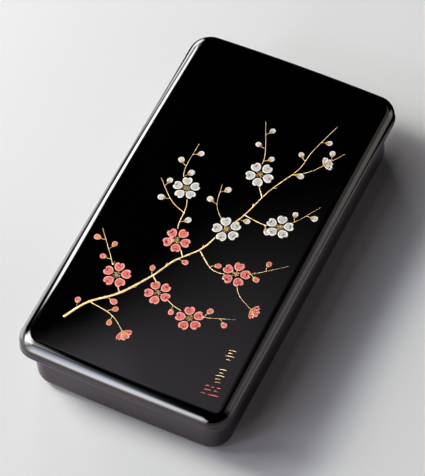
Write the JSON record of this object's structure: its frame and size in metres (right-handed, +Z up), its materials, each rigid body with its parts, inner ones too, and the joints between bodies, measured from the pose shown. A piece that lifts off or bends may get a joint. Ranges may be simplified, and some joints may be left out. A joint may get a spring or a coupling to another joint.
{
  "type": "writing box",
  "caption": "Low rounded lacquered box with a lift-off cap lid that overhangs its rim; holds brushes, ink and paper on a desk.",
  "frame": {"origin": "middle of the flat underside, on the surface that the box stands on", "axes": "+Z up through the lid, +Y along the box's length, +X across it"},
  "size_m": [0.1334, 0.242, 0.0475],
  "materials": {
    "box_lacquer": "black lacquer over wood, polished",
    "lid_lacquer": "black lacquer over wood, polished to a mirror",
    "gold_decoration": "sprinkled gold powder, softly burnished",
    "coral_decoration": "coral red lacquer, slightly raised, satin",
    "ivory_decoration": "ivory white lacquer, slightly raised, satin"
  },
  "bodies": {
    "root": {"box": "box_lacquer", "lid": "lid_lacquer"}
  },
  "joints": []
}
